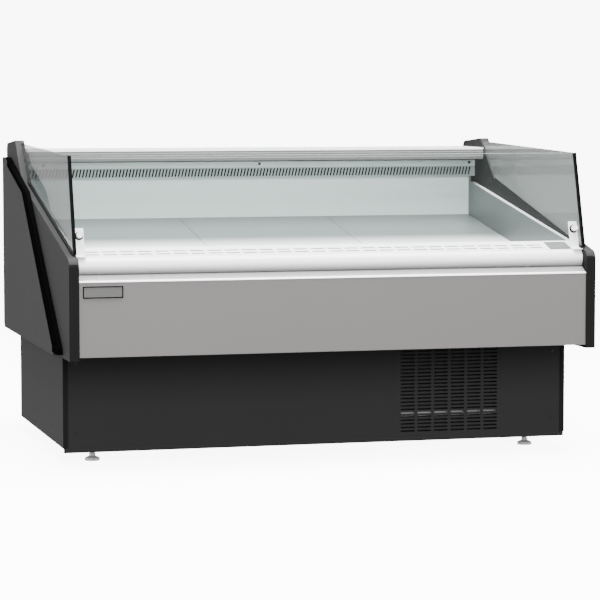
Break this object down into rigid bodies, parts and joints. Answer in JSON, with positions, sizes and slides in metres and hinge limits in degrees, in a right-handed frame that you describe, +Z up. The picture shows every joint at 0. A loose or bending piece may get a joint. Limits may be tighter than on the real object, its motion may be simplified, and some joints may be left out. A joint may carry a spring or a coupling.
{
  "type": "refrigerated deli case",
  "caption": "Low refrigerated self-serve deli case: sloping deck behind a leaning front glass, dark end frames, insulated tank and condensing unit in a recessed base.",
  "frame": {"origin": "on the floor under the middle of the case", "axes": "+X across the case, +Y from the front to the back, +Z up"},
  "size_m": [1.628, 1.176, 0.94],
  "materials": {
    "side_paint": "satin",
    "frame_plastic": "matte, fine grain",
    "trim_plastic": "satin",
    "base_paint": "satin powder coat",
    "galvanised": "galvanised",
    "zinc_steel": "zinc plated",
    "front_paint": "satin",
    "badge_metal": "satin",
    "white_plastic": "gloss",
    "white_paint": "satin",
    "grey_plastic": "satin",
    "pane": "clear tempered",
    "seal_rubber": "matte",
    "stainless": "brushed",
    "rail_paint": "satin",
    "foam": "matte",
    "dark_steel": "black",
    "fin_aluminium": "finned",
    "motor_black": "satin",
    "fan_aluminium": "plain",
    "drain_plastic": "matte",
    "copper": "plain copper",
    "box_plastic": "matte",
    "switch_red": "gloss",
    "gland_black": "matte"
  },
  "bodies": {
    "case": {"side_panel_left": "side_paint", "side_panel_right": "side_paint", "end_frame_left": "frame_plastic", "end_frame_right": "frame_plastic", "edge_trim_left": "trim_plastic", "edge_trim_right": "trim_plastic", "base_pan": "galvanised", "base_sides": "base_paint", "kick_plate": "base_paint", "base_rear_cover": "base_paint", "front_panel": "front_paint", "badge_plate": "badge_metal", "nose_bumper": "white_plastic", "front_air_grille": "white_paint", "grille_end_cover": "grey_plastic", "end_glass_left": "pane", "end_glass_right": "pane", "glass_edge_seals": "seal_rubber", "glass_clamps": "white_plastic", "liner_floor": "stainless", "liner_front": "stainless", "liner_rear": "stainless", "liner_end_left": "stainless", "liner_end_right": "stainless", "rear_wall_panel": "stainless", "discharge_grille": "stainless", "fascia": "stainless", "header_rail": "rail_paint", "header_top": "white_paint", "rear_panel": "base_paint", "tank_base": "galvanised", "insulation": "foam", "screws": "dark_steel", "deck_supports": "galvanised", "evaporator_coil": "fin_aluminium", "fan_plate": "galvanised", "evaporator_motors": "motor_black", "drain_pipe": "drain_plastic", "unit_tray": "galvanised", "compressor": "motor_black", "condenser_coil": "fin_aluminium", "fan_shroud": "motor_black", "condenser_motor": "motor_black", "refrigerant_lines": "copper", "electrical_box": "box_plastic", "cable_gland": "gland_black"},
    "front_glass": {"front_glass": "pane"},
    "clamp_knob_left": {"clamp_knob_left": "white_plastic"},
    "clamp_knob_right": {"clamp_knob_right": "white_plastic"},
    "foot_1": {"foot_1": "zinc_steel"},
    "foot_2": {"foot_2": "zinc_steel"},
    "foot_3": {"foot_3": "zinc_steel"},
    "foot_4": {"foot_4": "zinc_steel"},
    "deck_pan_1": {"deck_pan_1": "stainless"},
    "deck_pan_2": {"deck_pan_2": "stainless"},
    "deck_pan_3": {"deck_pan_3": "stainless"},
    "evaporator_fan_1": {"evaporator_fan_1": "fan_aluminium"},
    "evaporator_fan_2": {"evaporator_fan_2": "fan_aluminium"},
    "condenser_fan": {"condenser_fan": "fan_aluminium"},
    "rocker_switch": {"rocker_switch": "switch_red"}
  },
  "joints": [
    {"name": "front_glass_lift", "type": "slide", "parent": "case", "child": "front_glass", "axis": [0, 0.2833, 0.959], "range_m": [0, 0.3]},
    {"name": "left_knob_turn", "type": "hinge", "parent": "case", "child": "clamp_knob_left", "pos_m": [-0.757, -0.53272, 0.6895], "axis": [0, 0.959, -0.2833], "continuous": true},
    {"name": "right_knob_turn", "type": "hinge", "parent": "case", "child": "clamp_knob_right", "pos_m": [0.757, -0.53272, 0.6895], "axis": [0, 0.959, -0.2833], "continuous": true},
    {"name": "foot_1_level", "type": "slide", "parent": "case", "child": "foot_1", "axis": [0, 0, -1], "range_m": [0, 0.025]},
    {"name": "foot_2_level", "type": "slide", "parent": "case", "child": "foot_2", "axis": [0, 0, -1], "range_m": [0, 0.025]},
    {"name": "foot_3_level", "type": "slide", "parent": "case", "child": "foot_3", "axis": [0, 0, -1], "range_m": [0, 0.025]},
    {"name": "foot_4_level", "type": "slide", "parent": "case", "child": "foot_4", "axis": [0, 0, -1], "range_m": [0, 0.025]},
    {"name": "deck_pan_1_lift", "type": "slide", "parent": "case", "child": "deck_pan_1", "axis": [0, 0, 1], "range_m": [0, 0.12]},
    {"name": "deck_pan_2_lift", "type": "slide", "parent": "case", "child": "deck_pan_2", "axis": [0, 0, 1], "range_m": [0, 0.12]},
    {"name": "deck_pan_3_lift", "type": "slide", "parent": "case", "child": "deck_pan_3", "axis": [0, 0, 1], "range_m": [0, 0.12]},
    {"name": "evaporator_fan_1_spin", "type": "hinge", "parent": "case", "child": "evaporator_fan_1", "pos_m": [-0.37, 0, 0.482], "axis": [0, 1, 0], "continuous": true},
    {"name": "evaporator_fan_2_spin", "type": "hinge", "parent": "case", "child": "evaporator_fan_2", "pos_m": [0.37, 0, 0.482], "axis": [0, 1, 0], "continuous": true},
    {"name": "condenser_fan_spin", "type": "hinge", "parent": "case", "child": "condenser_fan", "pos_m": [0.41, -0.29, 0.182], "axis": [0, 1, 0], "continuous": true},
    {"name": "power_switch_rock", "type": "hinge", "parent": "case", "child": "rocker_switch", "pos_m": [-0.56, 0.428, 0.2], "axis": [1, 0, 0], "range_deg": [-7, 7]}
  ]
}
